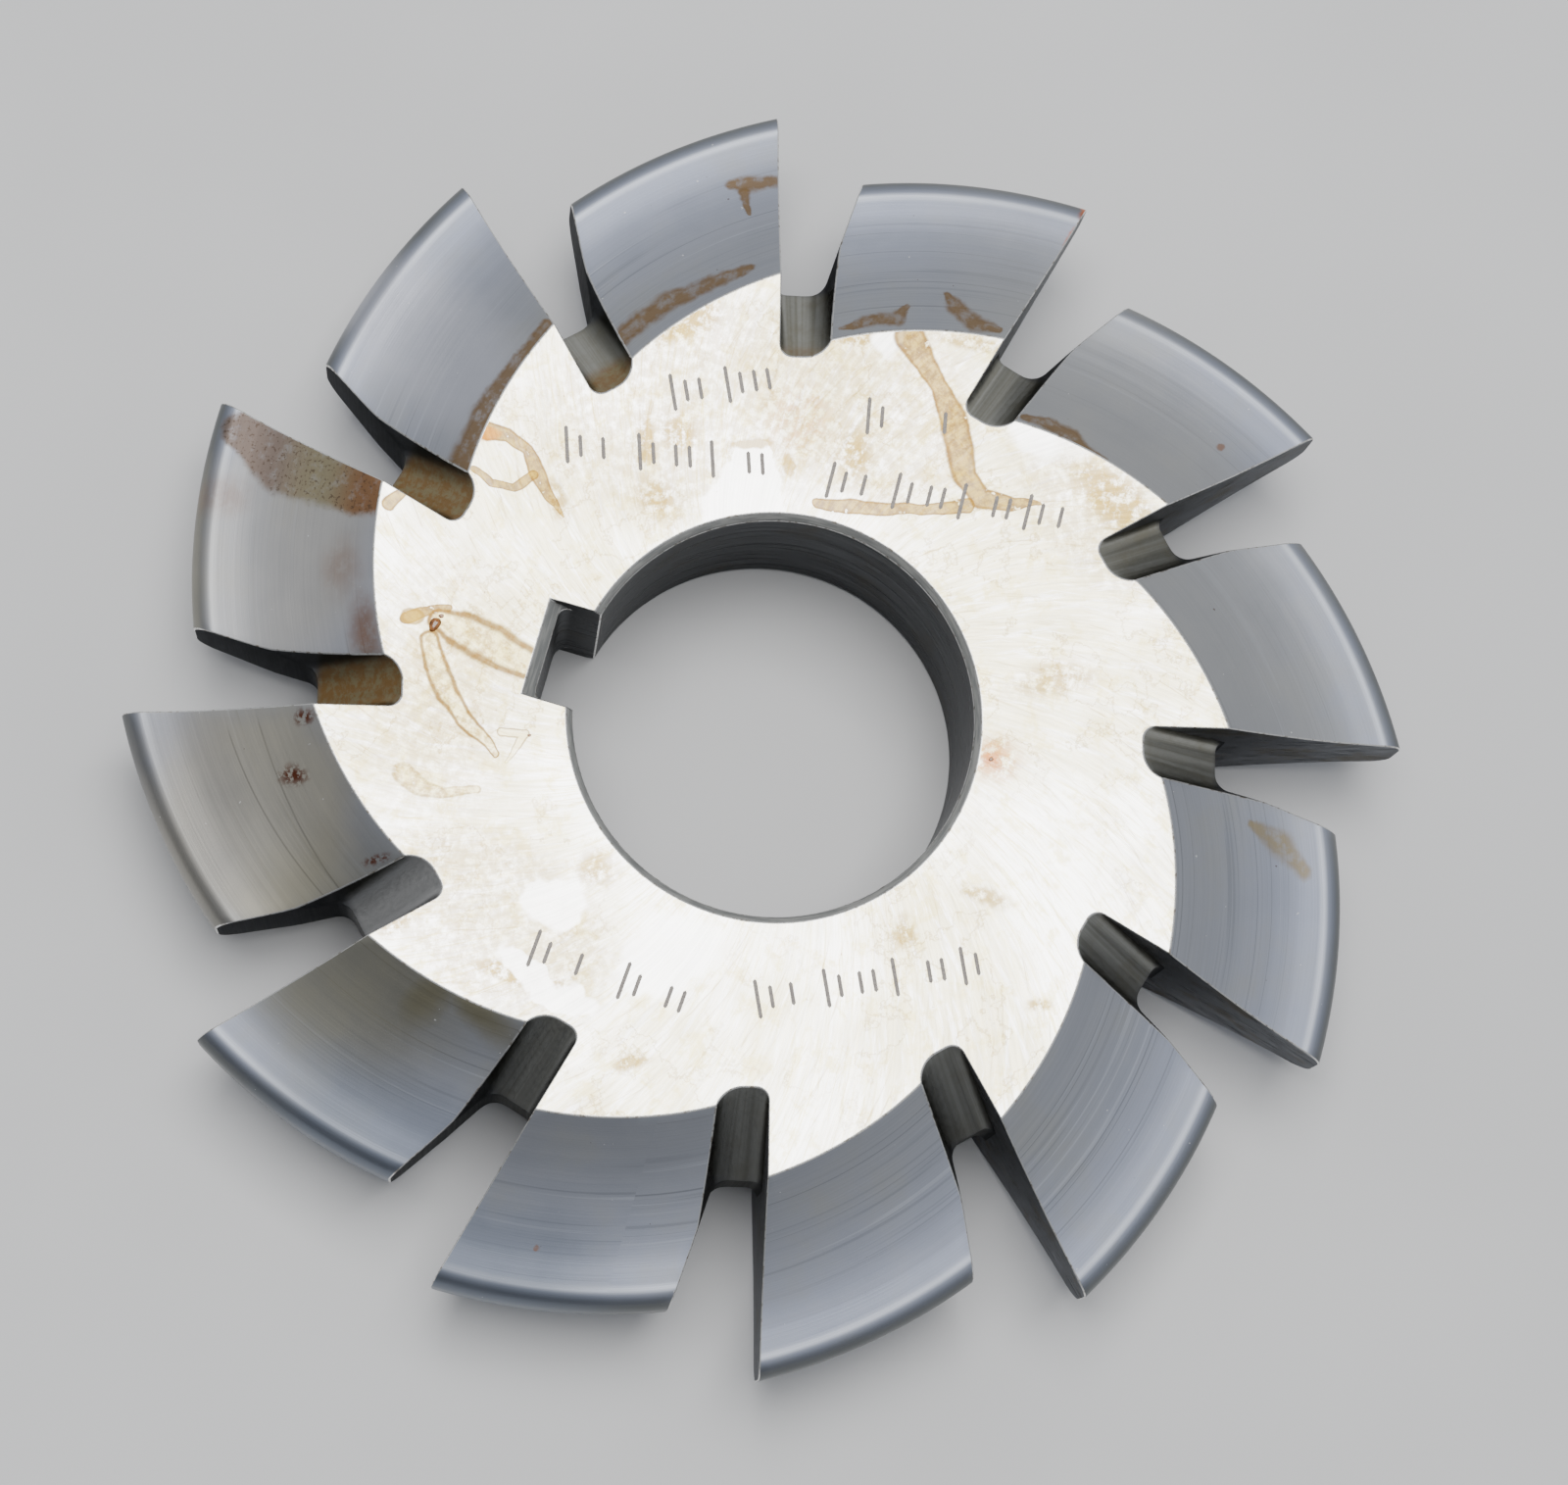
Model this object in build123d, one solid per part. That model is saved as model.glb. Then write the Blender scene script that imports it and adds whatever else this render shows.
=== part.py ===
from build123d import *
from math import acos, cos, pi, radians, sin, tan
import os

# Involute gear milling cutter: one solid disc of high-speed steel, in millimetres.
# Z is the bore axis. The origin is on that axis, half way through the thickness,
# and the keyway opens towards +Y. Seen from +Z the cutter turns clockwise.

# The disc and its seat on the arbor
OUTER_DIAMETER = 104.0
THICKNESS = 18.8
BORE_DIAMETER = 32.0
BORE_CHAMFER = 0.55
KEY_WIDTH = 8.0
KEY_FLOOR = 18.8  # from the bore axis
KEY_CORNER_RADIUS = 1.0
KEY_CHAMFER = 0.95  # on the ends of the keyway's floor

# The teeth
TOOTH_COUNT = 12
RELIEF_PER_PITCH = 6.93  # how far the profile sinks towards the axis in one pitch

# The gear tooth space that the cutter mills: its outline is the cutter's profile
MODULE = 7.0
GEAR_TEETH = 35
PRESSURE_ANGLE = 20.0
GEAR_DEDENDUM = 1.167  # in modules
CREST_RADIUS = 2.0
FLANK_POINTS = 9

# The chip gullets, seen along Z. "Along" is measured outwards on the radius that the
# rake face lies on, and "across" is measured from the rake face into the gullet.
MID_FLOOR = 36.4  # along, over the middle of the thickness
MID_RAKE_CORNER = 0.8
MID_BACK_CORNER = 1.6
MID_BACK_ANGLE = 18.3  # upper facet of the heel, against the rake face
MID_HALF_LENGTH = 3.2  # the floor is level for this far each side of the mid-plane
FACE_FLOOR = 29.5  # along, where the floor has sunk to the face of the disc
FACE_RAKE_CORNER = 1.0
FACE_BACK_CORNER = 2.3
FACE_BACK_ANGLE = 14.0  # lower facet of the heel, in a section parallel to the face
KINK_ALONG = 40.77  # where the two facets of the heel meet
KINK_ACROSS = 5.24
KINK_HEIGHT = 4.77  # above the mid-plane

# Worked out from the dimensions above
HALF = THICKNESS / 2
OUTER_RADIUS = OUTER_DIAMETER / 2
BORE_RADIUS = BORE_DIAMETER / 2
PITCH = 360 / TOOTH_COUNT
FIRST_EDGE = 90 + PITCH / 2  # the keyway lies half way between two cutting edges
PITCH_RADIUS = MODULE * GEAR_TEETH / 2
BASE_RADIUS = PITCH_RADIUS * cos(radians(PRESSURE_ANGLE))
ROOT_RADIUS = PITCH_RADIUS - GEAR_DEDENDUM * MODULE
FLOOR_SLOPE = (MID_FLOOR - FACE_FLOOR) / (HALF - MID_HALF_LENGTH)

# Allowances of the solids that are cut, so that they run past each other
SPARE = 1.0
SECTOR_LEAD = 1.0  # degrees of tooth in front of the rake face, before it is cut
SECTOR_SECTIONS = 7
SEARCH_DEPTH = 3 * MODULE  # how far outside the pitch circle the flank's end is looked for
SEARCH_TOLERANCE = 1e-6


def involute(angle):
    return tan(angle) - angle


def space_point(gear_radius):
    """Height over the gear's root, and half width, of its tooth space at one radius."""
    half_angle = (
        pi / (2 * GEAR_TEETH)
        - involute(radians(PRESSURE_ANGLE))
        + involute(acos(BASE_RADIUS / gear_radius))
    )
    return gear_radius * cos(half_angle) - ROOT_RADIUS, gear_radius * sin(half_angle)


def flank_end(half_width):
    """Gear radius at which the tooth space is this wide."""
    low, high = PITCH_RADIUS, PITCH_RADIUS + SEARCH_DEPTH
    while high - low > SEARCH_TOLERANCE:
        middle = (low + high) / 2
        if space_point(middle)[1] < half_width:
            low = middle
        else:
            high = middle
    return low


def flank_outline():
    """One flank of the profile at the cutting edge, as (radius, height), from the crest.

    The involute starts at the gear's base circle. From there to the crest the flank runs
    on along a radius of the gear.
    """
    length = flank_end(HALF + SPARE) - BASE_RADIUS
    radii = [BASE_RADIUS + length * k / (FLANK_POINTS - 1) for k in range(FLANK_POINTS)]
    involute_part = [space_point(radius) for radius in radii]
    depth, width = involute_part[0]
    half_angle = pi / (2 * GEAR_TEETH) - involute(radians(PRESSURE_ANGLE))
    points = [(0.0, width - depth * tan(half_angle))] + involute_part
    return [(OUTER_RADIUS - height, width) for height, width in points]


def profile():
    """Axial section of the tooth at its cutting edge, in the XZ plane."""
    upper = flank_outline()
    lower = [(radius, -height) for radius, height in upper]
    core = BORE_RADIUS - SPARE
    with BuildSketch(Plane.XZ) as sketch:
        with BuildLine():
            Spline(*upper)
            Line(upper[0], lower[0])
            Spline(*lower)
            Polyline(lower[-1], (core, lower[-1][1]), (core, upper[-1][1]), upper[-1])
        make_face()
        crest_corners = sketch.vertices().group_by(Axis.X)[-1]
        fillet(crest_corners, CREST_RADIUS)
    return sketch.sketch.face()


def tooth_sector():
    """One pitch of the disc with a form-relieved tooth, before its gullet is cut."""
    section = profile()
    sections = []
    for k in range(SECTOR_SECTIONS):
        turn = -SECTOR_LEAD + PITCH * k / (SECTOR_SECTIONS - 1)
        sink = RELIEF_PER_PITCH * turn / PITCH
        sections.append(Rot(0, 0, turn) * Pos(-sink, 0, 0) * section)
    return loft(sections) & Cylinder(OUTER_RADIUS + SPARE, THICKNESS)


def gullet_outline(floor, rake_corner, back_corner, angle, along, across):
    """Outline of a gullet pass: its back wall runs through the point (along, across)."""
    reach = OUTER_RADIUS + SPARE
    slope = tan(radians(angle))
    with BuildSketch() as sketch:
        with BuildLine():
            Polyline(
                (reach, 0),
                (floor, 0),
                (floor, -across - (floor - along) * slope),
                (reach, -across - (reach - along) * slope),
                close=True,
            )
        make_face()
        fillet(sketch.vertices().group_by(Axis.X)[0].sort_by(Axis.Y)[-1], rake_corner)
        fillet(sketch.vertices().group_by(Axis.X)[0].sort_by(Axis.Y)[0], back_corner)
    return sketch.sketch.face()


def gullet():
    """The space in front of a rake face that lies in the XZ plane, on its -Y side."""
    middle = gullet_outline(
        MID_FLOOR, MID_RAKE_CORNER, MID_BACK_CORNER, MID_BACK_ANGLE, KINK_ALONG, KINK_ACROSS
    )
    passes = extrude(Pos(0, 0, -HALF - SPARE) * middle, THICKNESS + 2 * SPARE)
    rise = HALF + SPARE
    slant = gullet_outline(
        FACE_FLOOR,
        FACE_RAKE_CORNER,
        FACE_BACK_CORNER,
        FACE_BACK_ANGLE,
        KINK_ALONG - FLOOR_SLOPE * (HALF - KINK_HEIGHT),
        KINK_ACROSS,
    )
    start = Pos(-FLOOR_SLOPE * SPARE, 0, rise) * slant
    upper = Solid.extrude(start, Vector(FLOOR_SLOPE * rise, 0, -rise))
    return passes + upper + mirror(upper, Plane.XY)


def bore():
    """Bore with a chamfer at each face."""
    half = HALF + SPARE
    wide = BORE_RADIUS + BORE_CHAMFER + SPARE
    mouth = Cone(BORE_RADIUS - SPARE, wide, BORE_CHAMFER + 2 * SPARE)
    upper = Pos(0, 0, HALF - BORE_CHAMFER / 2) * mouth
    return Cylinder(BORE_RADIUS, 2 * half) + upper + mirror(upper, Plane.XY)


def keyway():
    """Keyway with rounded floor corners and a chamfer on the floor's end at each face."""
    with BuildSketch() as sketch:
        with Locations((0, KEY_FLOOR / 2)):
            Rectangle(KEY_WIDTH, KEY_FLOOR)
        fillet(sketch.vertices().group_by(Axis.Y)[-1], KEY_CORNER_RADIUS)
    slot = extrude(Pos(0, 0, -HALF - SPARE) * sketch.sketch, THICKNESS + 2 * SPARE)
    depth = KEY_CHAMFER + SPARE
    with BuildSketch(Plane.YZ) as wedge:
        with BuildLine():
            Polyline(
                (KEY_FLOOR - SPARE, HALF + SPARE),
                (KEY_FLOOR - SPARE, HALF - depth),
                (KEY_FLOOR + depth, HALF + SPARE),
                close=True,
            )
        make_face()
    upper = extrude(wedge.sketch, KEY_WIDTH / 2, both=True)
    return slot + upper + mirror(upper, Plane.XY)


def cutter():
    sector = tooth_sector()
    space = gullet()
    turns = [FIRST_EDGE + PITCH * k for k in range(TOOTH_COUNT)]
    disc = Rot(0, 0, turns[0]) * sector
    disc = disc.fuse(*[Rot(0, 0, turn) * sector for turn in turns[1:]])
    disc = disc.cut(*[Rot(0, 0, turn) * space for turn in turns])
    return disc.cut(bore(), keyway())


os.makedirs("parts", exist_ok=True)
export_step(cutter(), "parts/gear_cutter.step")
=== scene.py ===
"""Looks of the involute gear milling cutter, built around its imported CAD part.

Lengths are in millimetres until a mesh is made, and then in metres, as the frame is. Z is
the bore axis, the origin lies half way through the thickness, and the keyway opens towards
+Y. Angles are in degrees, anticlockwise seen from +Z. "Turn" is the angle behind a tooth's
cutting edge, "across" is the distance from a rake face into the gullet in front of it.
"""

from functools import reduce
from math import acos, atan2, cos, degrees, pi, radians, sin, sqrt, tan

import bmesh
import bpy
import numpy as np
from mathutils import Matrix, Vector
from mathutils.geometry import tessellate_polygon


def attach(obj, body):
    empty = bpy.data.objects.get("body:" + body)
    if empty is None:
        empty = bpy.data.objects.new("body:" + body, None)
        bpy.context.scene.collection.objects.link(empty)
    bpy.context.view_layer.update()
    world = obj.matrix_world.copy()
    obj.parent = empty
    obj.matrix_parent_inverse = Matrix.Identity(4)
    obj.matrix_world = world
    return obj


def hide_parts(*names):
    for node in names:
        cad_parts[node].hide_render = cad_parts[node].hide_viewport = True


MM = 0.001

# The cutter, as its CAD part has it
OUTER_RADIUS = 52.0
HALF = 9.4
BORE_RADIUS = 16.0
BORE_CHAMFER = 0.55
KEY_HALF_WIDTH = 4.0
KEY_FLOOR = 18.8
KEY_CORNER_RADIUS = 1.0
KEY_CHAMFER = 0.95
TOOTH_COUNT = 12
PITCH = 360 / TOOTH_COUNT
FIRST_EDGE = 90 + PITCH / 2
RELIEF_PER_PITCH = 6.93
MODULE = 7.0
GEAR_TEETH = 35
PRESSURE_ANGLE = 20.0
GEAR_DEDENDUM = 1.167
CREST_RADIUS = 2.0
MID_FLOOR = 36.4  # the gullet's level pass, over the middle of the thickness
MID_RAKE_CORNER = 0.8
MID_BACK_CORNER = 1.6
MID_BACK_ANGLE = 18.3
MID_HALF_LENGTH = 3.2
FACE_FLOOR = 29.5  # the gullet's sloping pass, where it comes out on a face
FACE_RAKE_CORNER = 1.0
FACE_BACK_CORNER = 2.3
FACE_BACK_ANGLE = 14.0
KINK_ALONG = 40.77  # where the two facets of a tooth's heel meet
KINK_ACROSS = 5.24
KINK_HEIGHT = 4.77

# Worked out from the dimensions above
FLOOR_SLOPE = (MID_FLOOR - FACE_FLOOR) / (HALF - MID_HALF_LENGTH)
PITCH_RADIUS = MODULE * GEAR_TEETH / 2
BASE_RADIUS = PITCH_RADIUS * cos(radians(PRESSURE_ANGLE))
ROOT_RADIUS = PITCH_RADIUS - GEAR_DEDENDUM * MODULE
CREST_CENTRE = OUTER_RADIUS - CREST_RADIUS
RIM_RADIUS = BORE_RADIUS + BORE_CHAMFER

# How finely each surface is divided
CREST_ROWS = 2
CORNER_ROWS = 7
FLANK_ROWS_INSIDE = 3  # between the crest's corner and the kink in the heel
FLANK_ROWS_OUTSIDE = 10
TURN_STEPS = 24
RAKE_STEPS = 9
RAKE_CORNER_STEPS = 7
WALL_STEPS = 34
KEY_CORNER_STEPS = 6
BORE_STEPS = 180
KEY_SIDE_STEPS = 3
KEY_END_STEPS = 8
EDGE_MARGIN = 0.13  # width of the strip of faces along each edge of the flat faces
EDGE_ROUNDING = 0.10
EDGE_SEGMENTS = 2
EDGE_BEND = 12.0  # two surfaces that meet at more degrees than this get a rounded edge
SHARP_BEND = 25.0  # within one surface
WELD_DISTANCE = 0.0015
SLIVER = 0.0005
CURVE_SAMPLES = 400
WALL_SAMPLES = 300
WALL_CROWDING = 1.35  # the steps of a gullet's back wall grow towards the heel by this power
HALVINGS = 50  # of the interval in which a place is looked for
NEAREST_HEEL = 0.5  # degrees in front of the next rake face
MITRE_LIMIT = 0.5  # keeps a strip's inner corners from running far out


# ---- the cutter's outline

def involute(angle):
    return tan(angle) - angle


def space_point(gear_radius):
    """Height over the gear's root, and half width, of its tooth space at one radius."""
    half_angle = pi / (2 * GEAR_TEETH) - involute(radians(PRESSURE_ANGLE))
    half_angle += involute(acos(BASE_RADIUS / gear_radius))
    return gear_radius * cos(half_angle) - ROOT_RADIUS, gear_radius * sin(half_angle)


def flank_curve():
    """The profile's flank as arrays of height above the mid-plane and radius."""
    gear_radii = np.linspace(BASE_RADIUS, BASE_RADIUS + 3 * MODULE, CURVE_SAMPLES)
    points = [space_point(radius) for radius in gear_radii]
    depth, width = points[0]
    half_angle = pi / (2 * GEAR_TEETH) - involute(radians(PRESSURE_ANGLE))
    points.insert(0, (0.0, width - depth * tan(half_angle)))
    depths, widths = np.array(points).T
    return widths, OUTER_RADIUS - depths


def crest_corner(heights, radii):
    """Height of the crest corner's centre, and of the point where it meets the flank."""
    low, high = 0.0, float(heights[0])
    for _ in range(HALVINGS):
        middle = (low + high) / 2
        clear = np.hypot(heights - middle, radii - CREST_CENTRE).min() > CREST_RADIUS
        low, high = (middle, high) if clear else (low, middle)
    nearest = np.hypot(heights - low, radii - CREST_CENTRE).argmin()
    return low, float(heights[nearest])


def profile_rows():
    """The profile at the cutting edge, from the lower face to the upper: (height, radius)."""
    heights, radii = flank_curve()
    centre, meeting = crest_corner(heights, radii)
    meeting_radius = float(np.interp(meeting, heights, radii))
    reach = atan2(meeting - centre, meeting_radius - CREST_CENTRE)
    rows = [(centre * k / CREST_ROWS, OUTER_RADIUS) for k in range(CREST_ROWS + 1)]
    for k in range(1, CORNER_ROWS + 1):
        angle = reach * k / CORNER_ROWS
        below_crest = CREST_RADIUS * (1 - cos(angle))
        rows.append((centre + CREST_RADIUS * sin(angle), OUTER_RADIUS - below_crest))
    start = rows[-1][0]
    inside = np.linspace(start, KINK_HEIGHT, FLANK_ROWS_INSIDE + 1)[1:]
    outside = np.linspace(KINK_HEIGHT, HALF, FLANK_ROWS_OUTSIDE + 1)[1:]
    for height in (*inside, *outside):
        rows.append((float(height), float(np.interp(height, heights, radii))))
    return [(-height, radius) for height, radius in rows[:0:-1]] + rows


def sink(turn):
    return RELIEF_PER_PITCH * turn / PITCH


# ---- the gullets

def gullet_pass(across, floor, rake_corner, back_corner, angle, wall_along, wall_across):
    """How far out one pass of the gullet cutter reaches inwards, this far across."""
    slope = tan(radians(angle))
    foot = wall_across + (floor - wall_along) * slope
    tangent = back_corner * tan(radians(90 - angle) / 2)
    start, end = foot - tangent, foot + tangent * sin(radians(angle))
    if across < rake_corner:
        return floor + rake_corner - sqrt(max(0.0, rake_corner**2 - (rake_corner - across) ** 2))
    if across < start:
        return floor
    if across < end:
        return floor + back_corner - sqrt(back_corner**2 - (across - start) ** 2)
    return wall_along + (across - wall_across) / slope


def mid_pass(across):
    return gullet_pass(
        across, MID_FLOOR, MID_RAKE_CORNER, MID_BACK_CORNER, MID_BACK_ANGLE, KINK_ALONG, KINK_ACROSS
    )


def face_pass(across):
    along = KINK_ALONG - FLOOR_SLOPE * (HALF - KINK_HEIGHT)
    return gullet_pass(
        across, FACE_FLOOR, FACE_RAKE_CORNER, FACE_BACK_CORNER, FACE_BACK_ANGLE, along, KINK_ACROSS
    )


def gullet_bottom(across, height):
    """Radius, along the rake face, at which the gullet starts."""
    return min(mid_pass(across), face_pass(across) + FLOOR_SLOPE * (HALF - abs(height)))


def ridge_height(across):
    """Height at which the level pass gives way to the sloping one."""
    return HALF - (mid_pass(across) - face_pass(across)) / FLOOR_SLOPE


def heel(height, radius):
    """Angle in front of the next rake face at which a tooth ends, at one profile point."""
    low, high = NEAREST_HEEL, PITCH / 2
    for _ in range(HALVINGS):
        middle = (low + high) / 2
        reach = radius - sink(PITCH - middle)
        across = reach * sin(radians(middle))
        inside = reach * cos(radians(middle)) > gullet_bottom(across, height)
        low, high = (middle, high) if inside else (low, middle)
    return low


def wall_stations(last):
    """Distances across the gullet, from the rake face to where its back wall ends."""
    corner = [
        FACE_RAKE_CORNER * (1 - sin(radians(90 - 90 * k / RAKE_CORNER_STEPS)))
        for k in range(RAKE_CORNER_STEPS + 1)
    ]
    fine = np.linspace(FACE_RAKE_CORNER, last, WALL_SAMPLES)
    bottoms = np.array([face_pass(across) for across in fine])
    lengths = np.concatenate([[0.0], np.cumsum(np.hypot(np.diff(fine), np.diff(bottoms)))])
    shares = np.linspace(0, 1, WALL_STEPS + 1)[1:] ** WALL_CROWDING
    return corner + [float(np.interp(share * lengths[-1], lengths, fine)) for share in shares]


def gullet_row(height, radius):
    """One row of the gullet's grid, from the rake face to the heel that ends at this height."""
    angle = heel(height, radius)
    last = (radius - sink(PITCH - angle)) * sin(radians(angle))
    stations = wall_stations(last)
    miss = KINK_HEIGHT - ridge_height(last)
    row = []
    for across in stations:
        share = max(0.0, (across - FACE_RAKE_CORNER) / (last - FACE_RAKE_CORNER))
        ridge = ridge_height(across) + share * miss
        if abs(height) <= KINK_HEIGHT:
            level = abs(height) / KINK_HEIGHT * ridge
        else:
            level = ridge + (abs(height) - KINK_HEIGHT) / (HALF - KINK_HEIGHT) * (HALF - ridge)
        level = level if height >= 0 else -level
        row.append((gullet_bottom(across, level), -across, level))
    return row, PITCH - angle


# ---- the mesh

SURFACES = ("face", "flank", "gullet", "rake", "bore", "chamfer", "edge")


def metres(points):
    return [(x * MM, y * MM, z * MM) for x, y, z in points]


class Shell:
    """Grids and polygons of points that are welded into one closed mesh."""

    def __init__(self):
        self.points, self.faces, self.surfaces = [], [], []

    def polygon(self, points, surface):
        start = len(self.points)
        self.points.extend(tuple(point) for point in points)
        self.faces.append(tuple(range(start, start + len(points))))
        self.surfaces.append(SURFACES.index(surface))

    def grid(self, grid, surface):
        rows, columns = len(grid), len(grid[0])
        start = len(self.points)
        self.points.extend(tuple(point) for row in grid for point in row)
        for r in range(rows - 1):
            for c in range(columns - 1):
                corner = start + r * columns + c
                self.faces.append((corner, corner + 1, corner + columns + 1, corner + columns))
                self.surfaces.append(SURFACES.index(surface))


def turned(points, angle):
    c, s = cos(radians(angle)), sin(radians(angle))
    return [(x * c - y * s, x * s + y * c, z) for x, y, z in points]


def polar_point(radius, angle, height):
    return radius * cos(radians(angle)), radius * sin(radians(angle)), height


def tooth_grids():
    """The flank, gullet and rake grids of the tooth whose rake face lies along +X."""
    rows = profile_rows()
    flank, gullet, rake = [], [], []
    for height, radius in rows:
        walls, reach = gullet_row(height, radius)
        gullet.append(walls)
        turns = [reach * k / TURN_STEPS for k in range(TURN_STEPS + 1)]
        flank.append([polar_point(radius - sink(turn), turn, height) for turn in turns])
        inner, outer = np.array(walls[0]), np.array((radius, 0.0, height))
        steps = range(RAKE_STEPS + 1)
        rake.append([tuple(inner + (outer - inner) * k / RAKE_STEPS) for k in steps])
    return flank, gullet, rake


def face_outline(flank, gullet, rake):
    """Outline of one pitch of the upper face, from a rake face round to the next."""
    next_rake = turned(rake[-1], PITCH)
    next_gullet = turned(gullet[-1], PITCH)
    return flank[-1][:-1] + next_gullet[:0:-1] + next_rake[:-1]


def bore_arc(radius):
    """The bore at one radius, anticlockwise from the keyway's -X side round to its +X side."""
    end = degrees(acos(KEY_HALF_WIDTH / radius))
    angles = np.radians(np.linspace(180 - end, 360 + end, BORE_STEPS + 1))
    return [(radius * cos(angle), radius * sin(angle)) for angle in angles]


def key_mouth():
    """The keyway's mouth in a flat face, from the bore's rim on its +X side to its -X side."""
    rim_y = sqrt(RIM_RADIUS**2 - KEY_HALF_WIDTH**2)
    end_y = KEY_FLOOR + KEY_CHAMFER
    right = [(KEY_HALF_WIDTH, y) for y in np.linspace(rim_y, end_y, KEY_SIDE_STEPS + 1)]
    end = [(x, end_y) for x in np.linspace(KEY_HALF_WIDTH, -KEY_HALF_WIDTH, KEY_END_STEPS + 1)]
    return right + end[1:-1] + [(-x, y) for x, y in right[::-1]]


def inset(loop, distance):
    """A closed anticlockwise loop of points, moved inwards by this distance."""
    before = loop - np.roll(loop, 1, axis=0)
    after = np.roll(loop, -1, axis=0) - loop
    normals = [np.stack([-side[:, 1], side[:, 0]], 1) for side in (before, after)]
    normals = [n / np.linalg.norm(n, axis=1)[:, None] for n in normals]
    middle = normals[0] + normals[1]
    share = 1 + (normals[0] * normals[1]).sum(1)
    return loop + distance * middle / np.maximum(share, MITRE_LIMIT)[:, None]


def flat_faces(shell, outer, inner):
    """Both flat faces: a narrow strip along each loop, and triangles between the strips."""
    far, near = inset(outer, EDGE_MARGIN), inset(inner, -EDGE_MARGIN)
    corners = np.concatenate([far, near])
    triangles = tessellate_polygon([[Vector((x, y, 0.0)) for x, y in loop] for loop in (far, near)])
    for side in (1, -1):
        for pair in ((outer, far), (near, inner)):
            strip = [[(x, y, side * HALF) for x, y in (*loop, loop[0])] for loop in pair]
            shell.grid(strip, "face")
        for triangle in triangles:
            shell.polygon([(*corners[k], side * HALF) for k in triangle], "face")


def faces_and_bore(shell, outline):
    """Both faces, the bore with its chamfers, and the keyway."""
    outer = [p for k in range(TOOTH_COUNT) for p in turned(outline, FIRST_EDGE + PITCH * k)]
    outer = np.array([(x, y) for x, y, _ in outer])
    mouth = key_mouth()
    flat_faces(shell, outer, np.array(bore_arc(RIM_RADIUS) + mouth[1:-1]))
    levels = [[(x, y, HALF) for x, y in bore_arc(RIM_RADIUS)]]
    for height in np.linspace(HALF - BORE_CHAMFER, BORE_CHAMFER - HALF, 2):
        levels.append([(x, y, height) for x, y in bore_arc(BORE_RADIUS)])
    levels.append([(x, y, -HALF) for x, y in bore_arc(RIM_RADIUS)])
    for surface, pair in zip(("chamfer", "bore", "chamfer"), zip(levels, levels[1:])):
        shell.grid(pair, surface)
    keyway(shell, mouth)


def keyway(shell, mouth):
    """The keyway's floor, sides and end chamfers. The mouth's outline runs from +X to -X."""
    corner_x = KEY_HALF_WIDTH - KEY_CORNER_RADIUS
    corner_y = KEY_FLOOR - KEY_CORNER_RADIUS
    right = []
    for k in range(KEY_CORNER_STEPS + 1):
        x, y, _ = polar_point(KEY_CORNER_RADIUS, 90 * k / KEY_CORNER_STEPS, 0.0)
        right.append((corner_x + x, corner_y + y))
    bottom = right + [(-x, y) for x, y in right[::-1]]

    def end_height(y):
        return HALF - KEY_CHAMFER + y - KEY_FLOOR

    shell.grid([[(x, y, side * end_height(y)) for x, y in bottom] for side in (1, -1)], "bore")
    bore_y = sqrt(BORE_RADIUS**2 - KEY_HALF_WIDTH**2)
    end = mouth[KEY_SIDE_STEPS:-KEY_SIDE_STEPS]
    for side in (1, -1):
        chamfer = [(x, y, side * end_height(y)) for x, y in bottom]
        chamfer += [(x, y, side * HALF) for x, y in end[::-1]]
        shell.polygon(chamfer, "chamfer")
        x = side * KEY_HALF_WIDTH
        wall = [(x, bore_y, HALF - BORE_CHAMFER)]
        wall += [(x, y, HALF) for _, y in mouth[: KEY_SIDE_STEPS + 1]]
        wall.append((x, corner_y, end_height(corner_y)))
        shell.polygon(wall + [(x, y, -z) for x, y, z in wall[::-1]], "bore")


def cutter_shell():
    """All the surfaces of the cutter, not yet welded."""
    shell = Shell()
    flank, gullet, rake = tooth_grids()
    for k in range(TOOTH_COUNT):
        angle = FIRST_EDGE + PITCH * k
        for grid, surface in ((flank, "flank"), (gullet, "gullet"), (rake, "rake")):
            shell.grid([turned(row, angle) for row in grid], surface)
    faces_and_bore(shell, face_outline(flank, gullet, rake))
    return shell


def mark_edges(bm):
    """Sets which edges the bevel rounds, and which stay sharp under smooth shading."""
    weights = bm.edges.layers.float.new("bevel_weight_edge")
    for edge in bm.edges:
        surfaces = [face.material_index for face in edge.link_faces]
        bend = degrees(edge.calc_face_angle(0.0))
        joint = surfaces[0] != surfaces[1] and bend > EDGE_BEND
        bore_corner = surfaces == [SURFACES.index("bore")] * 2 and bend > SHARP_BEND
        if joint or bore_corner:
            edge[weights] = 1.0
        elif bend > SHARP_BEND:
            edge.smooth = False


def cutter_mesh():
    shell = cutter_shell()
    mesh = bpy.data.meshes.new("cutter")
    mesh.from_pydata(metres(shell.points), [], shell.faces)
    mesh.polygons.foreach_set("material_index", shell.surfaces)
    bm = bmesh.new()
    bm.from_mesh(mesh)
    bmesh.ops.remove_doubles(bm, verts=bm.verts, dist=WELD_DISTANCE * MM)
    bmesh.ops.dissolve_degenerate(bm, edges=bm.edges, dist=SLIVER * MM)
    bmesh.ops.recalc_face_normals(bm, faces=bm.faces)
    for face in bm.faces:
        face.smooth = True
    mark_edges(bm)
    bm.to_mesh(mesh)
    bm.free()
    return mesh


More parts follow.
